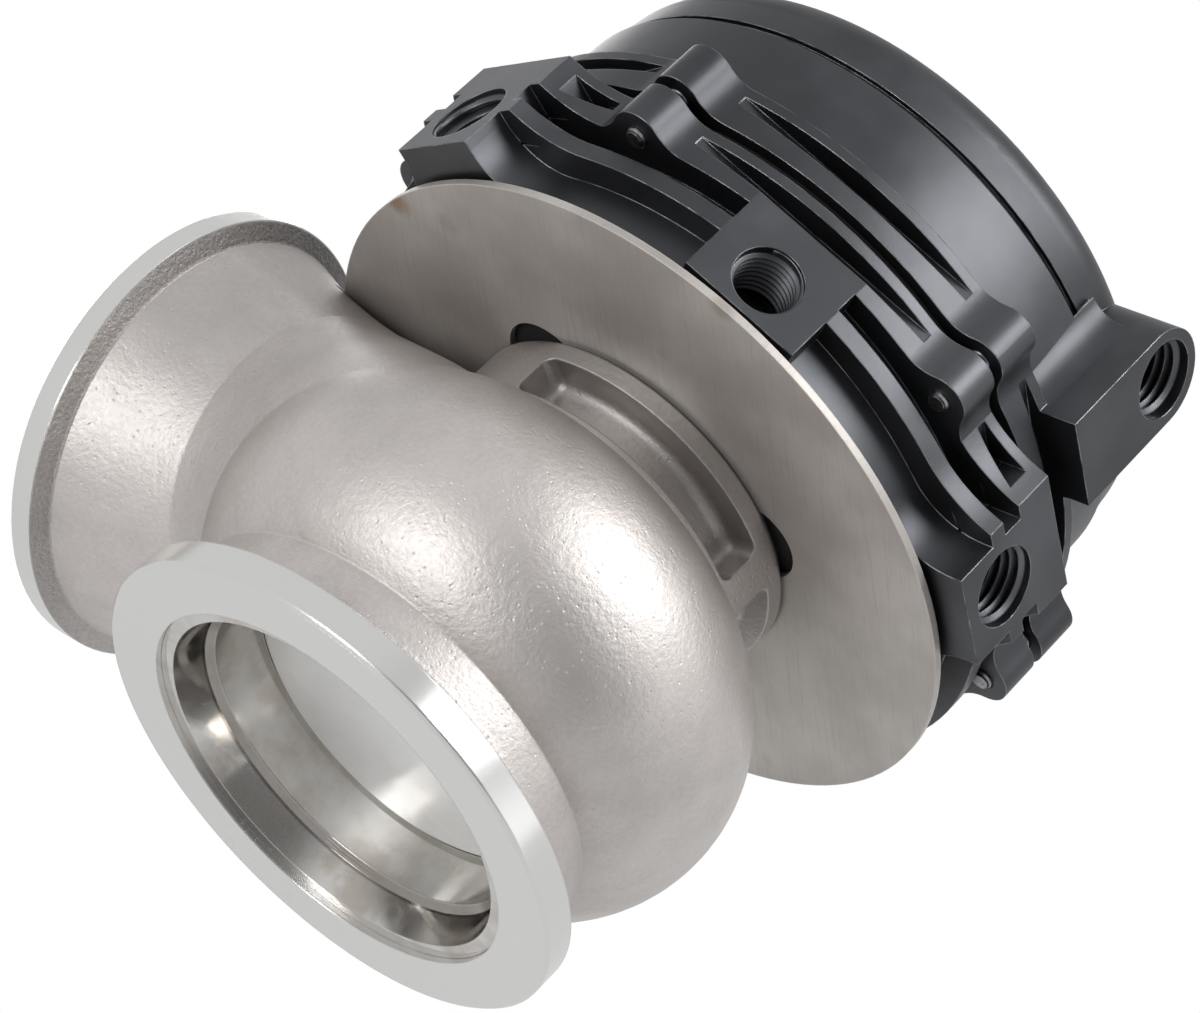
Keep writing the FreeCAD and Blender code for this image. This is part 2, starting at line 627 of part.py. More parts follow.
def stem_bush():
    """Bronze bush in the housing's centre boss."""
    low = BASE_Z + BUSH_LOW
    return ring(GUIDE_R, STEM_R + RUNNING, low, low + BUSH_H)


def stem_seal():
    """Lip seal above the bush."""
    low = BASE_Z + BUSH_LOW + BUSH_H + SLIP
    high = low + SEAL_H
    return turned((STEM_R + RUNNING, low), (GUIDE_R, low), (GUIDE_R, high),
                  (GUIDE_R - 0.8, high), (GUIDE_R - 1.2, low + 1.0), (STEM_R + 0.6, high - 0.4),
                  (STEM_R + RUNNING, high - 0.8))


def seal_retainer():
    """Pressed ring that holds the seal down."""
    low = BASE_Z + BUSH_LOW + BUSH_H + SEAL_H + 2 * SLIP
    return ring(GUIDE_R, STEM_R + 0.6, low, low + RETAINER_H)


# ---- diaphragm, piston and springs --------------------------------------------------
def diaphragm():
    """Rubber diaphragm: clamped bead, rolling fold and flat centre."""
    inner = PISTON_R + SHEET_GAP
    outer = CHAMBER_R - 0.3
    middle = (inner + outer) / 2
    fold_z = CAP_Z + FOLD
    fold = (outer - inner) / 2
    body = turned((STEM_THREAD_R + SLIP, SHEET_Z), (inner + SHEET, SHEET_Z),
                  (inner + SHEET, fold_z),
                  ((middle, fold_z + fold - SHEET), (outer - SHEET, fold_z)),
                  (outer - SHEET, JOINT_Z), (BEAD_R, JOINT_Z), (BEAD_R, CAP_Z),
                  (outer, CAP_Z), (outer, fold_z), ((middle, fold_z + fold), (inner, fold_z)),
                  (inner, PISTON_Z), (STEM_THREAD_R + SLIP, PISTON_Z))
    for angle in SCREW_ANGLES:
        hole = Part.makeCylinder(SCREW_R + 0.4, 3 * BEAD,
                                 FreeCAD.Vector(SCREW_PCR, 0, JOINT_Z - BEAD))
        body = body.cut(spin(hole, angle))
    return body


def lower_plate():
    """Plate under the diaphragm's centre, on the stem's shoulder."""
    return turned((STEM_THREAD_R + SLIP, PLATE_Z), (PISTON_R - 1.0, PLATE_Z),
                  (PISTON_R, PLATE_Z + 0.8), (PISTON_R, SHEET_Z), (STEM_THREAD_R + SLIP, SHEET_Z))


def piston():
    """Cup above the diaphragm that carries both springs."""
    bore = STEM_THREAD_R + SLIP
    wall = PISTON_R - PISTON_WALL
    top = PISTON_Z + PISTON_H
    step = INNER_SPRING_R + INNER_WIRE_R + 0.5
    return turned((bore, PISTON_Z), (PISTON_R, PISTON_Z), (PISTON_R, top - 0.6),
                  (PISTON_R - 0.6, top), (wall + 0.4, top), (wall, top - 0.6),
                  (wall, SPRING_Z), (step + 0.8, SPRING_Z), (step + 0.8, SPRING_Z + 1.2),
                  (step, SPRING_Z + 1.2), (step, SPRING_Z), (PISTON_HUB_R, SPRING_Z),
                  (PISTON_HUB_R, WASHER_Z), (bore, WASHER_Z))


def stem_washer():
    """Washer between piston hub and nut."""
    return ring(WASHER_R, STEM_THREAD_R + SLIP, WASHER_Z, NUT_Z)


def stem_nut():
    """Flanged lock nut on the stem's thread."""
    nut = hexagon(NUT_AF, NUT_Z, NUT_Z + NUT_H - 1.0)
    nut = nut.fuse(rod(NUT_AF / 2 - 0.4, NUT_Z, NUT_Z + NUT_H))
    return nut.cut(rod(STEM_THREAD_R + SLIP, NUT_Z - 1, NUT_Z + NUT_H + 1))


def coil_spring(radius, wire, turns):
    """Compression spring between piston and cap, with its ends ground flat."""
    low = SPRING_Z + SPRING_SEAT_GAP
    high = CEILING_Z - SPRING_SEAT_GAP
    height = high - low - wire
    helix = Part.makeHelix(height / turns, height, radius)
    helix.translate(FreeCAD.Vector(0, 0, low + wire / 2))
    start = helix.Edges[0].firstVertex().Point
    section = Part.makeCircle(wire, start, helix.Edges[0].tangentAt(helix.Edges[0].FirstParameter))
    coil = Part.Wire(helix.Edges).makePipeShell([Part.Wire([section])], True, True)
    return coil.common(rod(radius + 2 * wire, low, high))


def outer_spring():
    """Main spring."""
    return coil_spring(OUTER_SPRING_R, OUTER_WIRE_R, OUTER_TURNS)


def inner_spring():
    """Second spring inside the main one."""
    return coil_spring(INNER_SPRING_R, INNER_WIRE_R, INNER_TURNS)


# ---- cap ----------------------------------------------------------------------------
def cap_blank():
    """Turned outside of the cap with its groove and rounded top edge."""
    crease = CAP_Z + CAP_CREASE
    edge_z = TOP_Z - CAP_EDGE
    edge_r = CAP_DOME_R - CAP_EDGE
    diagonal = CAP_EDGE * math.sqrt(0.5)
    return turned((0, CAP_Z), (HOUSING_R, CAP_Z), (HOUSING_R, CAP_Z + CAP_FLANGE),
                  (CAP_WALL_R, CAP_Z + CAP_FLANGE), (CAP_CREASE_R, crease - 0.4),
                  (CAP_CREASE_R - 0.4, crease), (CAP_CREASE_R - CREASE_DEPTH - 0.4, crease),
                  (CAP_CREASE_R - CREASE_DEPTH - 0.4, crease + CREASE_W),
                  (CAP_CREASE_R - 0.5, crease + CREASE_W), (CAP_DOME_R, edge_z),
                  ((edge_r + diagonal, edge_z + diagonal), (edge_r, TOP_Z)), (0, TOP_Z))


def cap_arm():
    """Arm on the cap's side that carries the top air port."""
    foot = CAP_Z + CAP_SLOT
    start = CAP_BORE_R - 6
    column = radial_block(start, ARM_D, ARM_R, foot, ARM_PORT_Z, ARM_ANGLE, ARM_SHIFT)
    tip = radial_hole(ARM_R, start, ARM_D, ARM_ANGLE, ARM_PORT_Z, ARM_SHIFT)
    flares = pad_flares(CAP_CREASE_R, ARM_R, ARM_BLEND, foot, ARM_PORT_Z, ARM_ANGLE, ARM_SHIFT)
    return [column, tip] + flares


def cap():
    """Upper housing: spring cover, screw lobes, arm and top air port."""
    shell = cap_blank().fuse(screw_lobes(CAP_Z, CAP_Z + CAP_FLANGE) + cap_arm())
    shell = shell.cut(radial_block(ARM_D, ARM_D + FLAT_CUT, FLAT_HALF, CAP_Z, TOP_Z + 1,
                                   ARM_ANGLE))
    for angle in SLOT_ANGLES:
        shell = shell.cut(crescent_slot(CAP_Z + CAP_SLOT, angle))
    step = CAP_Z + CAP_FLANGE_BORE
    inside = turned((0, CAP_Z - 1), (CHAMBER_R + 0.1, CAP_Z - 1), (CHAMBER_R + 0.1, step),
                    (CAP_BORE_R, step + 1.5), (CAP_BORE_R, CEILING_Z - 3.0),
                    (CAP_BORE_R - 3.0, CEILING_Z), (0, CEILING_Z))
    shell = shell.cut(inside)
    face = CEILING_Z - SPRING_BOSS
    boss = turned((STEM_THREAD_R + 5, face), (SPRING_BOSS_R - 0.6, face),
                  (SPRING_BOSS_R, CEILING_Z), (STEM_THREAD_R + 5, CEILING_Z))
    shell = shell.fuse(boss)
    shell = shell.cut(radial_hole(ARM_PORT_R, ARM_D - ARM_PORT_DEPTH, ARM_D + 1, ARM_ANGLE,
                                  ARM_PORT_Z, ARM_SHIFT))
    shell = shell.cut(radial_hole(ARM_DRILL_R, CAP_BORE_R - 6, ARM_D - ARM_PORT_DEPTH + 1,
                                  ARM_ANGLE, CEILING_Z - 3.0 - ARM_DRILL_R, ARM_SHIFT))
    for angle in SCREW_ANGLES:
        hole = Part.makeCylinder(SCREW_R + 0.2, CAP_H, FreeCAD.Vector(SCREW_PCR, 0, CAP_Z - 1))
        head = Part.makeCylinder(SCREW_HEAD_R + HEAD_CLEARANCE, CAP_H,
                                 FreeCAD.Vector(SCREW_PCR, 0, HEAD_SEAT_Z))
        shell = shell.cut(spin(hole, angle)).cut(spin(head, angle))
    return shell


def flange_screws():
    """Screws that clamp cap, diaphragm and lower housing."""
    shank = HEAD_SEAT_Z - BASE_Z - BAND_LOW + SCREW_TIP
    screws = []
    for angle in SCREW_ANGLES:
        screw = cap_screw(shank, SCREW_R, SCREW_HEAD_R, SCREW_HEAD, KEY_AF)
        screw.translate(FreeCAD.Vector(SCREW_PCR, 0, HEAD_SEAT_Z))
        screws.append(spin(screw, angle))
    return Part.makeCompound(screws)


PARTS = (valve_body, valve_seat, valve, valve_guide, stem_scraper, neck_gasket, heat_shield,
         shield_core, insulator, neck_screws, lower_housing, jacket_cover, jacket_seals,
         stem_bush, stem_seal, seal_retainer, diaphragm, lower_plate, piston, stem_washer,
         stem_nut, outer_spring, inner_spring, cap, flange_screws)


def main():
    """Write every sub-part to parts/NAME.step."""
    os.makedirs("parts", exist_ok=True)
    for make in PARTS:
        shape = make()
        shape.exportStep("parts/" + make.__name__ + ".step")
        print(make.__name__, len(shape.Solids), round(shape.Volume, 1), shape.isValid())


main()
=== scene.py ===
import math

import bmesh
import bpy
from bpy.props import FloatProperty, FloatVectorProperty, IntProperty, PointerProperty
from bpy.types import Operator, Panel, PropertyGroup
from mathutils import Matrix, Vector


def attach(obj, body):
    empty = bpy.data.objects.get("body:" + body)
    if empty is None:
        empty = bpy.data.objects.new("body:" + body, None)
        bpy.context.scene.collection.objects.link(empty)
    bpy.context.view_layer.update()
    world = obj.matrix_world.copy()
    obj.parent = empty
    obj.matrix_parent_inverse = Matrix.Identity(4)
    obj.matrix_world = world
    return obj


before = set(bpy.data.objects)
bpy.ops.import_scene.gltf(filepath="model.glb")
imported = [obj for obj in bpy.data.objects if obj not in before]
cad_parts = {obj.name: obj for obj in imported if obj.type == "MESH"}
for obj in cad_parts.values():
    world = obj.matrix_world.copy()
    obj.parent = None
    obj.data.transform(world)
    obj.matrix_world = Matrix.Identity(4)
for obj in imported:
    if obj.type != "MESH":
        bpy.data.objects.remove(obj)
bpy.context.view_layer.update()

bl_info = {
    "name": "Exhaust wastegate looks",
    "version": (1, 0, 0),
    "blender": (4, 5, 0),
    "location": "3D View > Sidebar > Wastegate",
    "description": "Materials, threads, camera and studio for an external exhaust wastegate",
    "category": "3D View",
}

MM = 0.001

# Places on the part, in millimetres in the row frame.
INLET_RIM_Z = 4.0
OUTLET_X = 53.7
OUTLET_Z = 33.1
OUTLET_BORE_R = 18.5
FLARE_X = 43.6                 # from here the outlet's bore widens
FLARE_SLOPE = 0.62
CHAMBER_RING_R = 16.0
CHAMBER_Z = 26.0
SPOT = (30.4, 32.4)            # heat tint on the shield

# Where the casting's finish changes, and where shade is painted on the neck: start and end of
# each soft border.
INLET_RIM_TOP = (INLET_RIM_Z - 0.02, INLET_RIM_Z + 0.08)
INLET_RIM_IN_R = (24.2, 24.6)
OUTLET_RIM_X = (OUTLET_X - 3.38, OUTLET_X - 3.28)
COUNTERBORE_TOP = (11.0, 11.4)
COUNTERBORE_R = (25.6, 26.2)
CHAMBER_TUBE_R = (16.6, 17.2)
CHAMBER_FLOOR_Z = (10.0, 10.3)
PASSAGE_START_X = (10.0, 12.0)
PASSAGE_EDGE = (0.0, 0.4)
INLET_FLANK_Z = (5.6, 6.6)
OUTLET_BACK_X = (OUTLET_X - 4.6, OUTLET_X - 4.3)
NECK_SHADE_Z = (43.0, 46.0)

# Ports: angle round the valve axis, then distance, side and height of the mouth.
COOLANT_PORTS = ((60.0, 48.8, 0.0, 63.0), (174.0, 48.8, 0.0, 63.0))
AIR_PORTS = ((117.0, 44.0, 0.0, 61.6), (297.0, 44.0, 0.0, 61.6))
SIGNAL_PORT = (174.0, 48.3, -4.4, 96.2)

# Threads of the ports, in millimetres; the crest stands inward by a share of the pitch.
COOLANT_BORE_R = 4.9
AIR_BORE_R = 4.2
THREAD_LENGTH = 8.6
SIGNAL_THREAD_LENGTH = 9.0
THREAD_SHARE = 0.55
THREAD_FADE = 0.4              # turns over which a thread runs out at each end
THREAD_ROOT = 0.02             # the ridge's foot lies this far in from the wall
THREAD_INSET = 0.15            # the ridge ends this far below the mouth

# Edges sharper than these stay sharp, in degrees.
SHARP_EDGE = 28
SHARP_THREAD = 35

# The room: strength all round, strength at its dim side, where that side lies, and the
# cosines at which it begins and is complete.
ROOM_LIGHT = 0.92
ROOM_DIM = 0.24
DIM_SIDE = (-0.80, 0.55, -0.20)
DIM_FROM = 0.55
DIM_FULL = 0.95

# Camera place in millimetres, and the directions that it looks in and holds upright.
CAMERA_AT = (-249.4, 354.0, -185.7)
CAMERA_AHEAD = (0.508, -0.716, 0.479)
CAMERA_UP = (0.393, 0.687, 0.611)
SENSOR_WIDTH = 36.0

# Lamps in metres: name, place, size and share of the key light's power.
LAMP_TARGET = (0.0, 0.0, 0.05)
LAMP_UP = (0.1, 0.2, 1.0)
LAMPS = (("key", (-0.46, 0.34, 0.46), 0.36, 1.0),
         ("front", (0.06, 0.55, -0.42), 0.26, 0.5),
         ("side", (-0.70, -0.02, 0.14), 0.40, 0.10),
         ("rim", (0.45, -0.30, 0.35), 0.30, 0.25))

FLOOR_R = 2.5                  # metres
FLOOR_DROP = 0.00005           # keeps the floor clear of the flange that stands on it


# ---- settings -------------------------------------------------------------------------
class WastegateSettings(PropertyGroup):
    """Everything a user may want to change."""

    cast_grain: FloatProperty(name="Cast grain (mm)", default=0.62, min=0.05, max=3.0)
    cast_depth: FloatProperty(name="Cast depth (mm)", default=0.07, min=0.0, max=0.5)
    edge_radius: FloatProperty(name="Edge highlight (mm)", default=0.22, min=0.0, max=1.0)
    anodised: FloatVectorProperty(name="Anodised colour", subtype="COLOR", size=3,
                                  default=(0.095, 0.098, 0.106), min=0.0, max=1.0)
    cast: FloatVectorProperty(name="Cast colour", subtype="COLOR", size=3,
                              default=(0.62, 0.585, 0.565), min=0.0, max=1.0)
    coolant_pitch: FloatProperty(name="Coolant thread pitch (mm)", default=1.25, min=0.3)
    air_pitch: FloatProperty(name="Air thread pitch (mm)", default=1.0, min=0.3)
    thread_steps: IntProperty(name="Thread steps per turn", default=48, min=12, max=128)
    key_power: FloatProperty(name="Key light (W)", default=2.9, min=0.0)
    lens: FloatProperty(name="Lens (mm)", default=125.9, min=10.0)


# ---- shader arithmetic ----------------------------------------------------------------
class Value:
    """A shader socket with ordinary arithmetic."""

    def __init__(self, graph, socket):
        self.graph = graph
        self.socket = socket

    def __add__(self, other):
        return self.graph.math("ADD", self, other)

    __radd__ = __add__

    def __mul__(self, other):
        return self.graph.math("MULTIPLY", self, other)

    __rmul__ = __mul__

    def __sub__(self, other):
        return self.graph.math("SUBTRACT", self, other)

    def __rsub__(self, other):
        return self.graph.math("SUBTRACT", other, self)

    def __truediv__(self, other):
        return self.graph.math("DIVIDE", self, other)

    def __pow__(self, other):
        return self.graph.math("POWER", self, other)

    def root(self):
        return self.graph.math("SQRT", self)

    def magnitude(self):
        return self.graph.math("ABSOLUTE", self)

    def fraction(self):
        return self.graph.math("FRACT", self)

    def step(self, low, high):
        """Smooth step from 0 at low to 1 at high."""
        made = self.graph.node("ShaderNodeMapRange", {"interpolation_type": "SMOOTHSTEP"},
                               {"Value": self, "From Min": low, "From Max": high})
        return Value(self.graph, made.outputs["Result"])


class Graph:
    """Node tree of one material."""

    def __init__(self, name):
        self.material = bpy.data.materials.new(name)
        self.material.use_nodes = True
        self.tree = self.material.node_tree
        self.shader = self.tree.nodes["Principled BSDF"]
        coordinates = self.tree.nodes.new("ShaderNodeTexCoord").outputs["Object"]
        scale = self.node("ShaderNodeVectorMath", settings={"operation": "SCALE"},
                          inputs={0: coordinates, "Scale": 1.0 / MM})
        self.point = scale.outputs[0]
        parts = self.node("ShaderNodeSeparateXYZ", inputs={0: self.point})
        self.x, self.y, self.z = (Value(self, parts.outputs[i]) for i in range(3))
        self.radius = (self.x * self.x + self.y * self.y).root()

    def node(self, kind, settings=None, inputs=None):
        """New node; inputs are linked when they are sockets and set when they are values."""
        made = self.tree.nodes.new(kind)
        for key, value in (settings or {}).items():
            setattr(made, key, value)
        for key, value in (inputs or {}).items():
            self.feed(made.inputs[key], value)
        return made

    def feed(self, socket, value):
        if isinstance(value, Value):
            value = value.socket
        if isinstance(value, bpy.types.NodeSocket):
            self.tree.links.new(value, socket)
        else:
            socket.default_value = value

    def math(self, operation, *values):
        made = self.node("ShaderNodeMath", {"operation": operation}, dict(enumerate(values)))
        return Value(self, made.outputs[0])

    def stretched(self, sx, sy, sz):
        """Object position in millimetres, scaled along each axis."""
        made = self.node("ShaderNodeVectorMath", {"operation": "MULTIPLY"},
                         {0: self.point, 1: (sx, sy, sz)})
        return made.outputs[0]

    def noise(self, size, detail=3.0, rough=0.5, point=None):
        """Noise in 0..1 with features of this size in millimetres."""
        made = self.node("ShaderNodeTexNoise", {},
                         {"Vector": point or self.point, "Scale": 1.0 / size, "Detail": detail,
                          "Roughness": rough})
        return Value(self, made.outputs["Fac"])

    def cells(self, size):
        """Distance to the nearest cell centre, with cells of this size in millimetres."""
        made = self.node("ShaderNodeTexVoronoi", {},
                         {"Vector": self.point, "Scale": 1.0 / size})
        return Value(self, made.outputs["Distance"])

    def mix(self, factor, first, second):
        """Colour between first and second."""
        made = self.node("ShaderNodeMix", {"data_type": "RGBA"}, {"Factor": factor})
        self.feed(made.inputs[6], colour(first))
        self.feed(made.inputs[7], colour(second))
        return made.outputs[2]

    def bump(self, height, depth, normal=None):
        """Normal from a height in 0..1 that stands for depth millimetres."""
        made = self.node("ShaderNodeBump", {}, {"Height": height, "Distance": depth * MM})
        if normal is not None:
            self.feed(made.inputs["Normal"], normal)
        return made.outputs["Normal"]

    def rounded(self, radius):
        """Normal with every edge rounded over by this radius in millimetres."""
        made = self.node("ShaderNodeBevel", {"samples": 6}, {"Radius": radius * MM})
        return made.outputs["Normal"]

    def edges(self, radius):
        """Mask of the edges: where the rounded normal leaves the true one."""
        geometry = self.node("ShaderNodeNewGeometry")
        dot = self.node("ShaderNodeVectorMath", {"operation": "DOT_PRODUCT"},
                        {0: self.rounded(radius), 1: geometry.outputs["Normal"]})
        return (1.0 - Value(self, dot.outputs["Value"])).step(0.02, 0.16)

    def finish(self, **inputs):
        """Feed the shader and hand back the material."""
        for key, value in inputs.items():
            self.feed(self.shader.inputs[key.replace("_", " ")], value)
        return self.material


def colour(value):
    """Colour with alpha, or a socket as it is."""
    if isinstance(value, (bpy.types.NodeSocket, Value)):
        return value
    return (*value[:3], 1.0)


def scaled(value, factor):
    return tuple(factor * part for part in value)


# ---- materials ------------------------------------------------------------------------
def cast_body(settings):
    """Cast stainless steel with machined flange faces and rims."""
    g = Graph("cast_body")
    painted_edge_highlight = (0.74, 0.73, 0.71)
    cut_steel = (0.76, 0.76, 0.75)
    soot = (0.20, 0.175, 0.15)
    grain = g.noise(settings.cast_grain, 5.0, 0.6)
    pits = g.cells(1.1).step(0.0, 0.22)
    lumps = g.noise(4.5, 2.0)
    drift = g.noise(20.0, 3.0, 0.6)
    outlet_r = ((g.z - OUTLET_Z) * (g.z - OUTLET_Z) + g.y * g.y).root()
    inlet = (1.0 - g.z.step(*INLET_RIM_TOP)) * g.radius.step(*INLET_RIM_IN_R)
    outlet = g.x.step(*OUTLET_RIM_X)
    counterbore = (1.0 - g.z.step(*COUNTERBORE_TOP)) * (1.0 - g.radius.step(*COUNTERBORE_R))
    machined = g.math("MAXIMUM", g.math("MAXIMUM", inlet, outlet), counterbore)
    tube = ((g.radius - CHAMBER_RING_R) ** 2.0 + (g.z - CHAMBER_Z) ** 2.0).root()
    bore = OUTLET_BORE_R + FLARE_SLOPE * g.math("MAXIMUM", g.x - FLARE_X, 0.0)
    chamber = (1.0 - tube.step(*CHAMBER_TUBE_R)) * g.z.step(*CHAMBER_FLOOR_Z)
    passage = (1.0 - (outlet_r - bore).step(*PASSAGE_EDGE)) * g.x.step(*PASSAGE_START_X)
    inside = g.math("MAXIMUM", chamber, passage * (1.0 - outlet))
    cast = 1.0 - machined
    flank = (1.0 - g.z.step(*INLET_FLANK_Z)) * cast * (1.0 - inside)
    back = g.x.step(*OUTLET_BACK_X) * cast
    rough_cast = g.math("MAXIMUM", flank, back)
    neck = g.z.step(*NECK_SHADE_Z) * cast
    fine = (1.0 - lumps.step(0.35, 0.65)) * 0.5 + 0.5
    tone = g.mix(drift.step(0.30, 0.72),
                 scaled(settings.cast, 0.90), scaled(settings.cast, 1.10))
    tone = g.mix(grain.step(0.34, 0.62) * 0.22 * fine, tone, scaled(settings.cast, 0.70))
    tone = g.mix(rough_cast * (0.15 + 0.35 * grain), tone, scaled(settings.cast, 0.55))
    # Lighter along the cast edges: painted highlight.
    tone = g.mix(g.edges(0.45) * cast * 0.30, tone, painted_edge_highlight)
    # Darker on the neck, in the pockets between the chamber and the heat shield: painted shade.
    tone = g.mix(neck * 0.35, tone, scaled(settings.cast, 0.62))
    tone = g.mix(machined, tone, cut_steel)
    tone = g.mix(inside, tone, soot)
    rough = (0.44 + 0.10 * grain + 0.08 * rough_cast) * cast + 0.20 * machined
    lines = (g.radius * 7.0 + g.noise(6.0) * 0.6).fraction() * machined
    height = (grain * (0.55 + 1.6 * rough_cast) + 0.55 * lumps + 0.30 * pits) * cast
    normal = g.bump(height + 0.03 * lines, settings.cast_depth * 2.0,
                    g.rounded(settings.edge_radius * 1.6))
    return g.finish(Base_Color=tone, Metallic=1.0, Roughness=rough, Normal=normal)


def turned_steel(name, base, rough=0.24):
    """Turned metal with fine rings round the valve axis."""
    g = Graph(name)
    ring = 0.11
    rings = ((g.radius + 0.37 * g.z) / ring + g.noise(9.0) * 0.5).fraction()
    stain = g.noise(7.0, 4.0, 0.6)
    tone = g.mix(stain.step(0.40, 0.75) * 0.5, base, scaled(base, 0.78))
    normal = g.bump(rings, 0.004, g.rounded(0.15))
    return g.finish(Base_Color=tone, Metallic=1.0, Normal=normal,
                    Roughness=rough + 0.14 * stain)


def seat_steel():
    """Polished throat ring, heat-browned, with painted shade along the step half way up."""
    g = Graph("seat_steel")
    stain = g.noise(6.0, 4.0, 0.6).step(0.38, 0.66)
    lines = ((0.4 * g.radius + g.z) / 0.16 + g.noise(9.0) * 0.4).fraction()
    step = g.z.step(4.6, 4.9) * (1.0 - g.z.step(5.7, 6.1))
    tone = g.mix(stain * 0.6, (0.66, 0.65, 0.63), (0.48, 0.42, 0.36))
    # Dark band along the step: painted shade.
    tone = g.mix(step * 0.7, tone, (0.20, 0.18, 0.16))
    return g.finish(Base_Color=tone, Metallic=1.0, Roughness=0.07 + 0.16 * stain,
                    Normal=g.bump(lines, 0.003, g.rounded(0.15)))


def valve_face():
    """Dull ground steel of the valve, pale under a thin film of soot."""
    g = Graph("valve_steel")
    rings = (g.radius / 0.13 + g.noise(7.0) * 0.4).fraction()
    film = g.noise(9.0, 4.0, 0.6)
    ash = 1.0 - g.radius.step(4.0, 19.0)
    tone = g.mix(film.step(0.38, 0.70) * 0.35, (0.80, 0.80, 0.79), (0.62, 0.60, 0.57))
    tone = g.mix(ash * 0.25, tone, (0.86, 0.86, 0.85))
    return g.finish(Base_Color=tone, Metallic=0.45, Roughness=0.34 + 0.16 * film,
                    Normal=g.bump(rings, 0.004, g.rounded(0.15)))


def shield_sheet():
    """Rolled stainless disc with fine scratches, smudges and heat tint."""
    g = Graph("shield_sheet")
    rolled = g.noise(1.0, 3.0, 0.6, g.stretched(4.0, 0.12, 1.0))
    crossed = g.noise(1.0, 2.0, 0.6, g.stretched(0.10, 3.2, 1.0))
    smudge = g.noise(14.0, 3.0, 0.55)
    spots = 1.0 - g.cells(11.0).step(0.06, 0.20)
    spot_r = ((g.x - SPOT[0]) ** 2.0 + (g.y - SPOT[1]) ** 2.0).root() + 2.0 * g.noise(2.5)
    tint = 1.0 - spot_r.step(1.2, 4.0)
    warm = g.mix(smudge.step(0.36, 0.68), (0.44, 0.41, 0.385), (0.54, 0.51, 0.48))
    warm = g.mix(rolled.step(0.50, 0.75) * 0.45, warm, (0.36, 0.33, 0.30))
    warm = g.mix(spots * smudge.step(0.45, 0.60) * 0.55, warm, (0.30, 0.26, 0.22))
    warm = g.mix(tint * 0.8, warm, (0.30, 0.20, 0.12))
    # Lighter along the edges: painted highlight.
    warm = g.mix(g.edges(0.35) * 0.5, warm, (0.72, 0.71, 0.69))
    rough = 0.38 + 0.12 * smudge + 0.10 * rolled
    normal = g.bump(rolled + 0.5 * crossed, 0.006, g.rounded(0.2))
    return g.finish(Base_Color=warm, Metallic=0.62, Roughness=rough, Normal=normal)


def anodised(settings, name, lift=1.0):
    """Black anodised aluminium with a satin face and bright broken edges."""
    g = Graph(name)
    base = scaled(settings.anodised, lift)
    grain = g.noise(0.24, 3.0, 0.6)
    cloud = g.noise(18.0, 3.0, 0.55)
    dust = g.noise(0.9, 4.0, 0.7).step(0.66, 0.80)
    rings = (g.z / 0.14 + 0.5 * g.noise(8.0)).fraction()
    tone = g.mix(cloud.step(0.35, 0.7), scaled(base, 0.82), scaled(base, 1.2))
    tone = g.mix(dust * 0.22, tone, (0.25, 0.25, 0.26))
    worn = g.edges(settings.edge_radius) * g.noise(2.2, 3.0).step(0.30, 0.62)
    tone = g.mix(worn * 0.75, tone, (0.50, 0.50, 0.52))
    rough = 0.35 + 0.08 * cloud + 0.06 * grain
    normal = g.bump(grain + 0.15 * rings, 0.012, g.rounded(settings.edge_radius))
    return g.finish(Base_Color=tone, Metallic=1.0, Roughness=rough, Normal=normal)


def black_steel(name, base=(0.16, 0.16, 0.17), pitch=0.5):
    """Oiled black steel screw with its thread in the normal."""
    g = Graph(name)
    grain = g.noise(0.4, 3.0)
    wave = ((g.z / pitch).fraction() - 0.5).magnitude() * 2.0
    tone = g.mix(grain.step(0.35, 0.7), base, scaled(base, 1.7))
    # Lighter along the edges: painted highlight.
    tone = g.mix(g.edges(0.12) * 0.7, tone, (0.55, 0.55, 0.55))
    normal = g.bump(wave, 0.16, g.rounded(0.1))
    return g.finish(Base_Color=tone, Metallic=1.0, Roughness=0.26 + 0.12 * grain,
                    Normal=normal)


def moulded(name, base, rough=0.55):
    """Moulded or pressed soft material with a fine grain."""
    g = Graph(name)
    grain = g.noise(0.3, 3.0, 0.6)
    cloud = g.noise(5.0, 2.0)
    tone = g.mix(cloud, scaled(base, 0.8), scaled(base, 1.25))
    return g.finish(Base_Color=tone, Metallic=0.0, Roughness=rough + 0.15 * grain,
                    Normal=g.bump(grain, 0.02))


# ---- mesh pieces ----------------------------------------------------------------------
def new_piece(name, mesh, material, body):
    """Add a mesh to the scene as a piece that rides on a body."""
    piece = bpy.data.objects.new(name, mesh)
    bpy.context.scene.collection.objects.link(piece)
    mesh.materials.append(material)
    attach(piece, body)
    return piece


def port_matrix(port):
    """Frame of a port: its local +Z points out of the mouth, from the mouth's centre."""
    angle, distance, side, height = port
    turn = Matrix.Rotation(math.radians(angle), 4, "Z")
    mouth = Matrix.Translation(Vector((distance, side, height)) * MM)
    return turn @ mouth @ Matrix.Rotation(math.radians(90), 4, "Y")


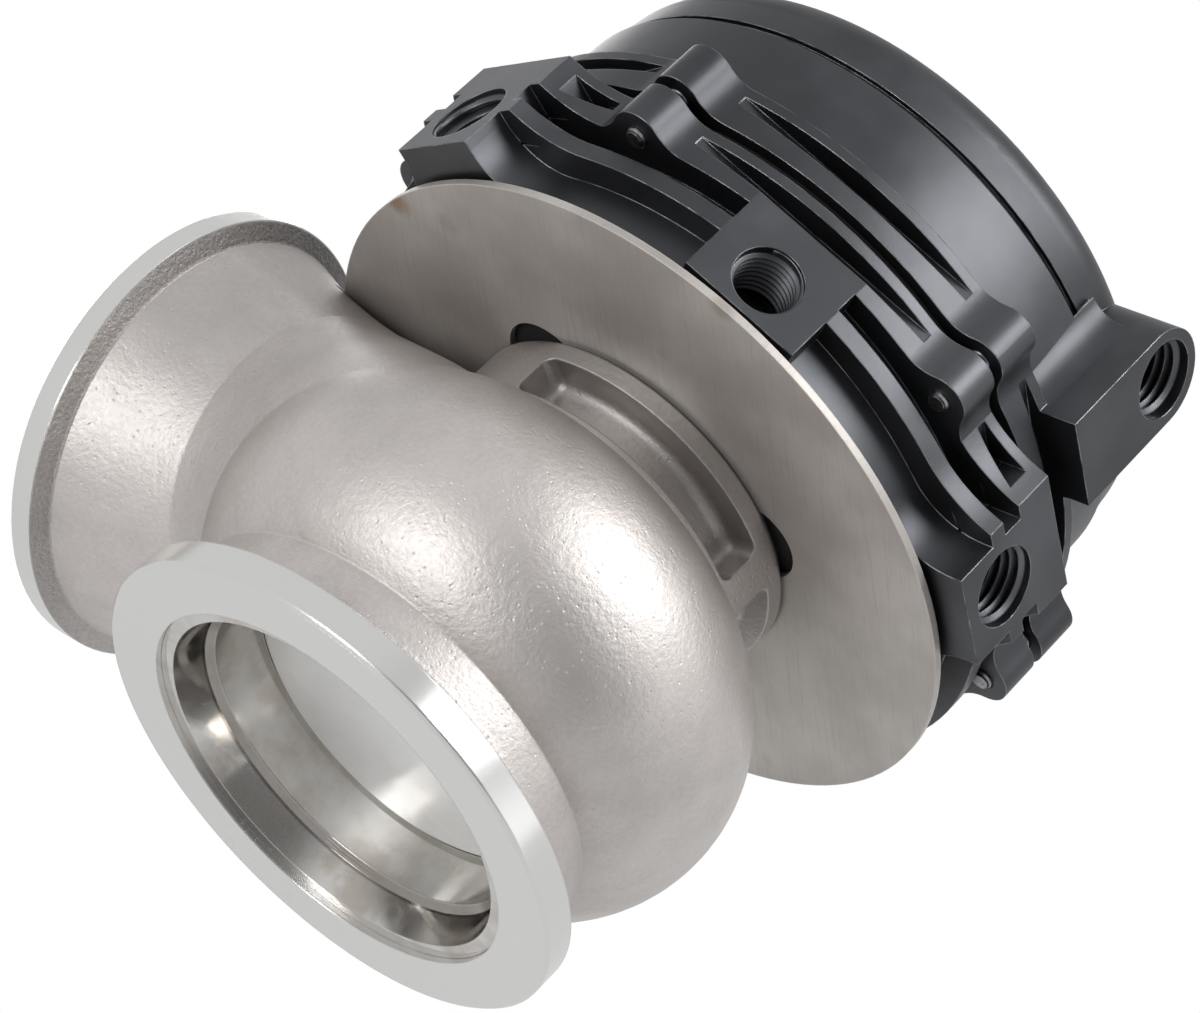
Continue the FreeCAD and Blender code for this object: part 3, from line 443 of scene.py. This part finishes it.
def thread_mesh(name, port, radius, pitch, depth, length, steps):
    """Internal thread: one closed helical ridge that stands inward from the wall."""
    shape = ((THREAD_ROOT, -0.44), (0.10, -0.40), (depth, -0.09),
             (depth, 0.09), (0.10, 0.40), (THREAD_ROOT, 0.44))
    turns = length / pitch
    count = int(turns * steps)
    place = port_matrix(port)
    bm = bmesh.new()
    rows = []
    for i in range(count + 1):
        share = i / steps
        fade = min(1.0, i / (THREAD_FADE * steps), (count - i) / (THREAD_FADE * steps))
        angle = 2 * math.pi * share
        row = []
        for inward, along in shape:
            r = radius - THREAD_ROOT - (inward - THREAD_ROOT) * fade
            z = -length - 0.5 * pitch + pitch * (share + along) - THREAD_INSET
            spot = Vector((r * math.cos(angle), r * math.sin(angle), z)) * MM
            row.append(bm.verts.new(place @ spot))
        rows.append(row)
    for one, two in zip(rows, rows[1:]):
        for k in range(len(shape)):
            following = (k + 1) % len(shape)
            bm.faces.new((one[k], two[k], two[following], one[following]))
    bm.faces.new(rows[0])
    bm.faces.new(reversed(rows[-1]))
    bmesh.ops.recalc_face_normals(bm, faces=bm.faces)
    mesh = bpy.data.meshes.new(name)
    bm.to_mesh(mesh)
    bm.free()
    mesh.shade_smooth()
    mesh.set_sharp_from_angle(angle=math.radians(SHARP_THREAD))
    return mesh


# ---- studio ---------------------------------------------------------------------------
def look_matrix(position, target, up):
    """Placement that looks from position to target."""
    back = (position - target).normalized()
    right = up.cross(back).normalized()
    level = back.cross(right)
    turn = Matrix((right, level, back)).transposed().to_4x4()
    return Matrix.Translation(position) @ turn


def add_camera(settings):
    """Camera that sees the part from below its inlet."""
    data = bpy.data.cameras.new("camera")
    data.lens = settings.lens
    data.sensor_width = SENSOR_WIDTH
    data.sensor_fit = "HORIZONTAL"
    data.clip_start = 0.01
    camera = bpy.data.objects.new("camera", data)
    position = Vector(CAMERA_AT) * MM
    forward = Vector(CAMERA_AHEAD)
    camera.matrix_world = look_matrix(position, position + forward, Vector(CAMERA_UP))
    bpy.context.scene.collection.objects.link(camera)
    bpy.context.scene.camera = camera


def add_area(name, position, size, power):
    """Square lamp that faces the middle of the part."""
    data = bpy.data.lights.new(name, "AREA")
    data.shape = "RECTANGLE"
    data.size = size
    data.size_y = size
    data.energy = power
    lamp = bpy.data.objects.new(name, data)
    lamp.matrix_world = look_matrix(Vector(position), Vector(LAMP_TARGET), Vector(LAMP_UP))
    bpy.context.scene.collection.objects.link(lamp)


def add_world():
    """White to the camera; a pale room with one dim side to everything else."""
    world = bpy.data.worlds.new("studio")
    bpy.context.scene.world = world
    world.use_nodes = True
    tree = world.node_tree
    tree.nodes.clear()
    path = tree.nodes.new("ShaderNodeLightPath")
    place = tree.nodes.new("ShaderNodeTexCoord")
    toward = tree.nodes.new("ShaderNodeVectorMath")
    toward.operation = "DOT_PRODUCT"
    toward.inputs[1].default_value = Vector(DIM_SIDE).normalized()
    ramp = tree.nodes.new("ShaderNodeMapRange")
    ramp.interpolation_type = "SMOOTHSTEP"
    ramp.inputs["From Min"].default_value = DIM_FROM
    ramp.inputs["From Max"].default_value = DIM_FULL
    ramp.inputs["To Min"].default_value = ROOM_LIGHT
    ramp.inputs["To Max"].default_value = ROOM_DIM
    room = tree.nodes.new("ShaderNodeBackground")
    white = tree.nodes.new("ShaderNodeBackground")
    white.inputs["Color"].default_value = (1.0, 1.0, 1.0, 1.0)
    mixed = tree.nodes.new("ShaderNodeMixShader")
    out = tree.nodes.new("ShaderNodeOutputWorld")
    links = tree.links
    links.new(place.outputs["Generated"], toward.inputs[0])
    links.new(toward.outputs["Value"], ramp.inputs["Value"])
    links.new(ramp.outputs["Result"], room.inputs["Strength"])
    links.new(path.outputs["Is Camera Ray"], mixed.inputs[0])
    links.new(room.outputs[0], mixed.inputs[1])
    links.new(white.outputs[0], mixed.inputs[2])
    links.new(mixed.outputs[0], out.inputs["Surface"])


def add_floor():
    """Pale floor that is seen only from above and blocks no light from below."""
    material = bpy.data.materials.new("floor")
    material.use_nodes = True
    tree = material.node_tree
    shader = tree.nodes["Principled BSDF"]
    shader.inputs["Base Color"].default_value = (0.86, 0.86, 0.86, 1.0)
    shader.inputs["Roughness"].default_value = 0.7
    clear = tree.nodes.new("ShaderNodeBsdfTransparent")
    path = tree.nodes.new("ShaderNodeLightPath")
    geometry = tree.nodes.new("ShaderNodeNewGeometry")
    shown = tree.nodes.new("ShaderNodeMath")
    shown.operation = "SUBTRACT"
    shown.use_clamp = True
    mixed = tree.nodes.new("ShaderNodeMixShader")
    links = tree.links
    links.new(path.outputs["Is Camera Ray"], shown.inputs[0])
    links.new(geometry.outputs["Backfacing"], shown.inputs[1])
    links.new(shown.outputs[0], mixed.inputs[0])
    links.new(clear.outputs[0], mixed.inputs[1])
    links.new(shader.outputs[0], mixed.inputs[2])
    links.new(mixed.outputs[0], tree.nodes["Material Output"].inputs["Surface"])
    bm = bmesh.new()
    bmesh.ops.create_circle(bm, cap_ends=True, segments=96, radius=FLOOR_R)
    mesh = bpy.data.meshes.new("floor")
    bm.to_mesh(mesh)
    bm.free()
    mesh.materials.append(material)
    floor = bpy.data.objects.new("floor", mesh)
    floor.location.z = -FLOOR_DROP
    bpy.context.scene.collection.objects.link(floor)


# ---- operators ------------------------------------------------------------------------
def dress(nodes, material):
    """Smooth the nodes' round faces, keep their edges and give them a material."""
    for name in nodes:
        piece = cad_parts[name]
        piece.data.materials.clear()
        piece.data.materials.append(material)
        piece.data.shade_smooth()
        piece.data.set_sharp_from_angle(angle=math.radians(SHARP_EDGE))


class WASTEGATE_OT_stage(Operator):
    """Camera, lamps, room and floor"""

    bl_idname = "wastegate.stage"
    bl_label = "Studio"

    def execute(self, context):
        settings = context.scene.wastegate
        add_camera(settings)
        add_world()
        for name, position, size, share in LAMPS:
            add_area(name, position, size, share * settings.key_power)
        add_floor()
        bpy.context.scene.view_settings.view_transform = "Standard"
        return {"FINISHED"}


class WASTEGATE_OT_body(Operator):
    """Cast body and seat ring"""

    bl_idname = "wastegate.body"
    bl_label = "Valve body"

    def execute(self, context):
        settings = context.scene.wastegate
        dress(["valve_body"], cast_body(settings))
        dress(["valve_seat"], seat_steel())
        return {"FINISHED"}


class WASTEGATE_OT_valve(Operator):
    """Valve, its guide and scraper"""

    bl_idname = "wastegate.valve"
    bl_label = "Valve train"

    def execute(self, context):
        dress(["valve"], valve_face())
        dress(["valve_guide", "stem_bush"], turned_steel("bronze", (0.52, 0.36, 0.17), 0.3))
        dress(["stem_scraper", "seal_retainer"], turned_steel("ring_steel", (0.45, 0.44, 0.43)))
        return {"FINISHED"}


class WASTEGATE_OT_shield(Operator):
    """Heat shield, its core, gasket and insulator"""

    bl_idname = "wastegate.shield"
    bl_label = "Heat shield"

    def execute(self, context):
        dress(["heat_shield", "shield_core"], shield_sheet())
        dress(["neck_gasket"], moulded("graphite", (0.10, 0.10, 0.10), 0.45))
        dress(["insulator"], moulded("ceramic_fibre", (0.012, 0.012, 0.012), 0.8))
        return {"FINISHED"}


class WASTEGATE_OT_actuator(Operator):
    """Lower housing, cap and what is between and inside them"""

    bl_idname = "wastegate.actuator"
    bl_label = "Actuator"

    def execute(self, context):
        settings = context.scene.wastegate
        dress(["lower_housing"], anodised(settings, "anodised_housing"))
        dress(["cap"], anodised(settings, "anodised_cap", 0.9))
        bare = turned_steel("bare_aluminium", (0.60, 0.60, 0.61), 0.3)
        dress(["jacket_cover", "lower_plate", "piston"], bare)
        dress(["diaphragm"], moulded("diaphragm_rubber", (0.025, 0.025, 0.025), 0.6))
        dress(["stem_seal"], moulded("seal_rubber", (0.04, 0.04, 0.04), 0.5))
        dress(["jacket_seals"], moulded("o_ring_rubber", (0.20, 0.05, 0.03), 0.5))
        dress(["outer_spring", "inner_spring"],
              turned_steel("spring_steel", (0.30, 0.32, 0.37), 0.32))
        return {"FINISHED"}


class WASTEGATE_OT_fasteners(Operator):
    """Screws, nut and washer"""

    bl_idname = "wastegate.fasteners"
    bl_label = "Fasteners"

    def execute(self, context):
        dress(["flange_screws"], black_steel("flange_screw_steel", (0.24, 0.24, 0.25), 0.5))
        dress(["neck_screws"], black_steel("neck_screw_steel", pitch=0.7))
        dress(["stem_nut", "stem_washer"], turned_steel("zinc_steel", (0.56, 0.57, 0.58), 0.3))
        return {"FINISHED"}


class WASTEGATE_OT_threads(Operator):
    """Internal threads of the five ports"""

    bl_idname = "wastegate.threads"
    bl_label = "Port threads"

    def execute(self, context):
        settings = context.scene.wastegate
        steps = settings.thread_steps
        metal = anodised(settings, "thread_metal", 1.5)
        coolant, air = settings.coolant_pitch, settings.air_pitch
        sizes = [("coolant_thread", port, COOLANT_BORE_R, coolant, THREAD_LENGTH, "lower_housing")
                 for port in COOLANT_PORTS]
        sizes += [("air_thread", port, AIR_BORE_R, air, THREAD_LENGTH, "lower_housing")
                  for port in AIR_PORTS]
        sizes.append(("signal_thread", SIGNAL_PORT, COOLANT_BORE_R, coolant,
                      SIGNAL_THREAD_LENGTH, "cap"))
        for index, (name, port, radius, pitch, length, slot) in enumerate(sizes):
            name = f"{name}_{index + 1}"
            depth = THREAD_SHARE * pitch
            mesh = thread_mesh(name, port, radius, pitch, depth, length, steps)
            new_piece(name, mesh, metal, "housing")
        return {"FINISHED"}


class WASTEGATE_PT_panel(Panel):
    """Sidebar panel with the settings and one button per group"""

    bl_label = "Wastegate"
    bl_idname = "WASTEGATE_PT_panel"
    bl_space_type = "VIEW_3D"
    bl_region_type = "UI"
    bl_category = "Wastegate"

    def draw(self, context):
        settings = context.scene.wastegate
        for name in WastegateSettings.__annotations__:
            self.layout.prop(settings, name)
        for kind in OPERATORS:
            self.layout.operator(kind.bl_idname)


OPERATORS = (WASTEGATE_OT_stage, WASTEGATE_OT_body, WASTEGATE_OT_valve, WASTEGATE_OT_shield,
             WASTEGATE_OT_actuator, WASTEGATE_OT_fasteners, WASTEGATE_OT_threads)
CLASSES = (WastegateSettings, *OPERATORS, WASTEGATE_PT_panel)


def register():
    for kind in CLASSES:
        bpy.utils.register_class(kind)
    bpy.types.Scene.wastegate = PointerProperty(type=WastegateSettings)


def unregister():
    del bpy.types.Scene.wastegate
    for kind in reversed(CLASSES):
        bpy.utils.unregister_class(kind)


def main():
    register()
    for kind in OPERATORS:
        group, action = kind.bl_idname.split(".")
        result = getattr(getattr(bpy.ops, group), action)()
        if result != {"FINISHED"}:
            raise RuntimeError(f"{kind.bl_idname} did not finish")
    bpy.context.view_layer.update()


if __name__ == "__main__":
    main()
